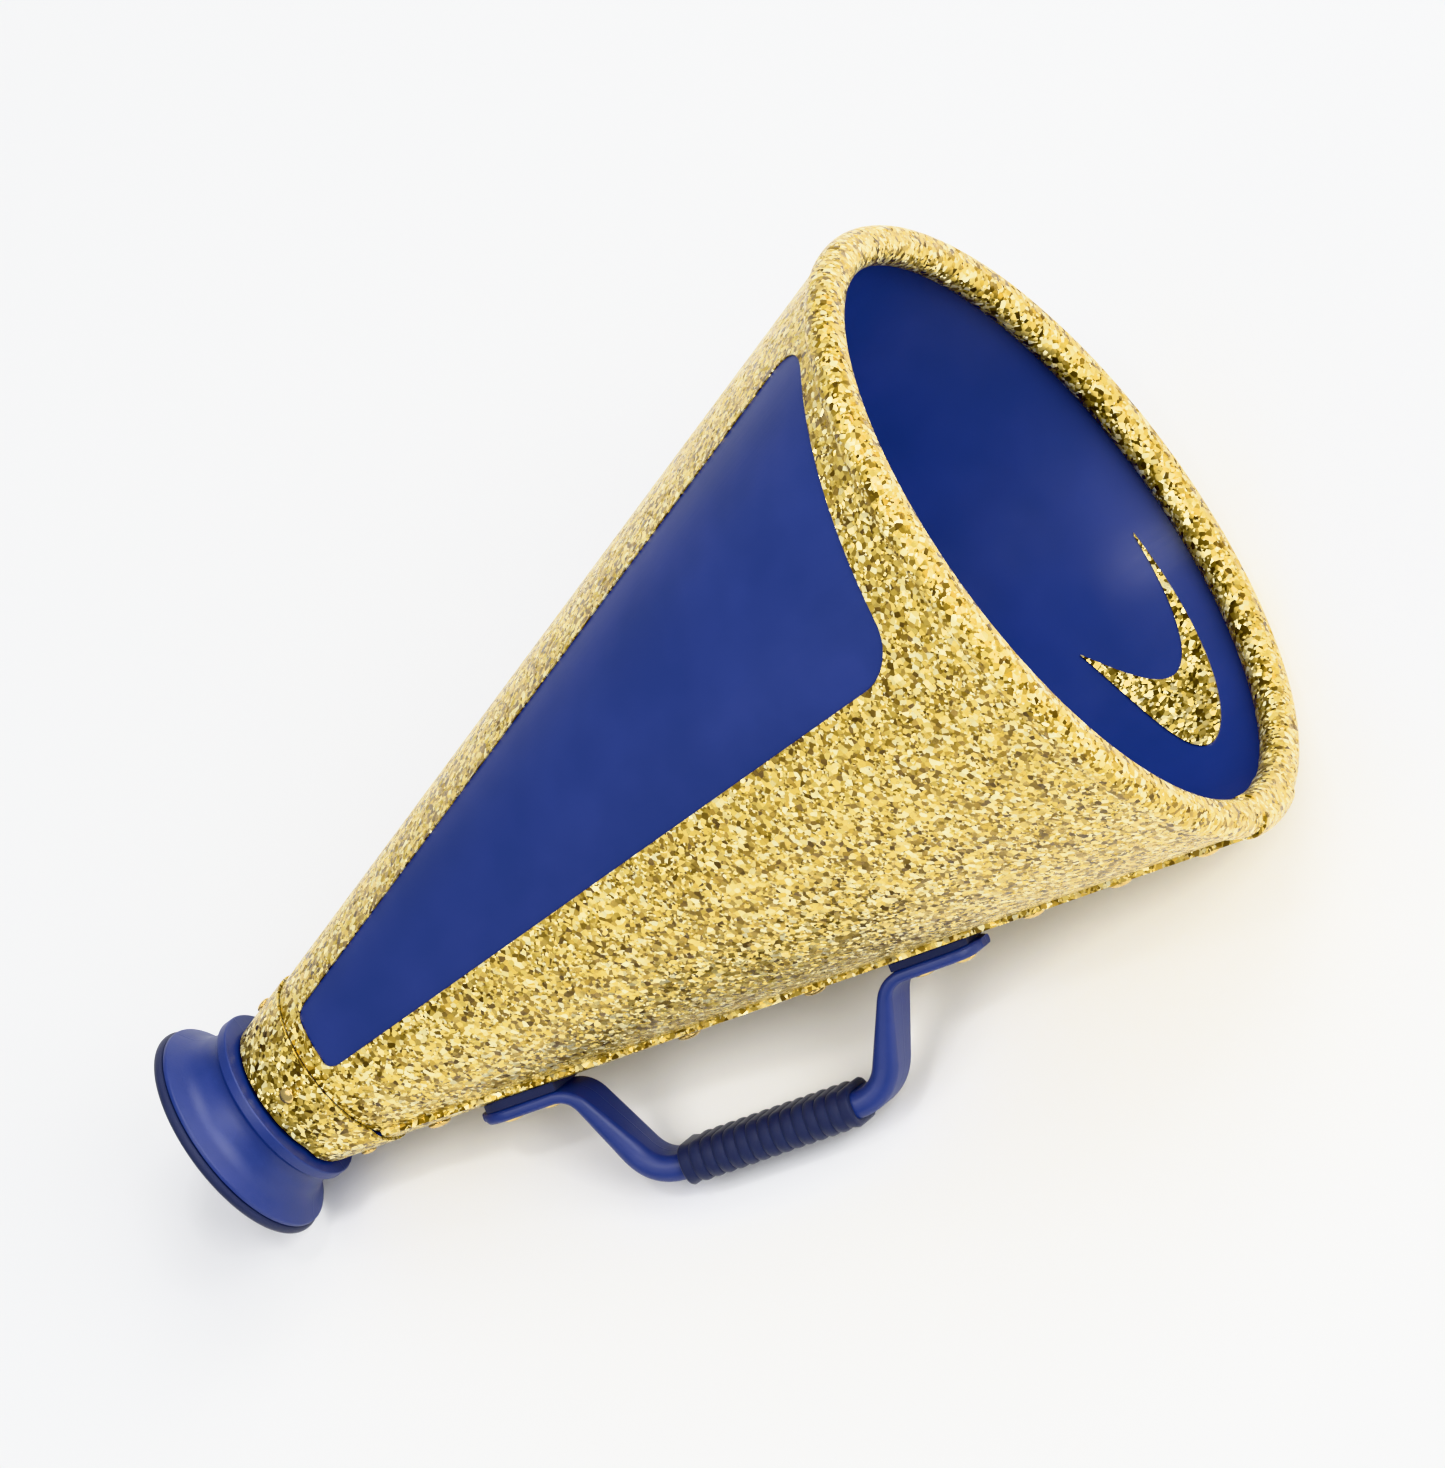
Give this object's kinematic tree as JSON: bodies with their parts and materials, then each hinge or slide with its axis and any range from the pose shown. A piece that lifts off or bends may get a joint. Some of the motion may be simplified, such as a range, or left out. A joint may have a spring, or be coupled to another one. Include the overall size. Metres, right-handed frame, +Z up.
{
  "type": "cheer megaphone",
  "caption": "Hand-held cheer megaphone: a riveted sheet-plastic cone with a beaded bell, a rubber-lipped mouthpiece, a bow handle and glitter trim.",
  "frame": {"origin": "middle of the bounding box, on the floor that the megaphone lies on", "axes": "+X is the way the bell faces, seen from above; +Z is up; the handle is down on the -Y side. The cone's axis is raised 12.3 degrees towards the bell"},
  "size_m": [0.4312, 0.2598, 0.2543],
  "materials": {
    "royal_blue_plastic": "royal-blue sheet plastic, satin",
    "blue_rubber": "dark blue rubber, matt",
    "gold_glitter": "gold glitter under clear vinyl",
    "brass": "polished rivets"
  },
  "bodies": {
    "root": {"cone_shell": "royal_blue_plastic", "handle_bow": "royal_blue_plastic", "mouthpiece": "royal_blue_plastic", "bell_bead": "gold_glitter", "bead_joint_sleeve": "gold_glitter", "glitter_wrap": "gold_glitter", "glitter_crescent_left": "gold_glitter", "glitter_crescent_right": "gold_glitter", "throat_collar": "gold_glitter", "lip_ring": "blue_rubber", "grip_sleeve": "blue_rubber", "saddle_front": "blue_rubber", "saddle_rear": "blue_rubber", "backing_plate_front": "brass", "backing_plate_rear": "brass", "seam_rivet_1": "brass", "seam_rivet_2": "brass", "seam_rivet_3": "brass", "seam_rivet_4": "brass", "seam_rivet_5": "brass", "seam_rivet_6": "brass", "seam_washer_1": "brass", "seam_washer_2": "brass", "seam_washer_3": "brass", "seam_washer_4": "brass", "seam_washer_5": "brass", "seam_washer_6": "brass", "collar_rivet_1": "brass", "collar_rivet_2": "brass", "collar_rivet_3": "brass", "collar_rivet_4": "brass", "handle_rivet_1": "brass", "handle_rivet_2": "brass", "handle_rivet_3": "brass", "handle_rivet_4": "brass"}
  },
  "joints": []
}
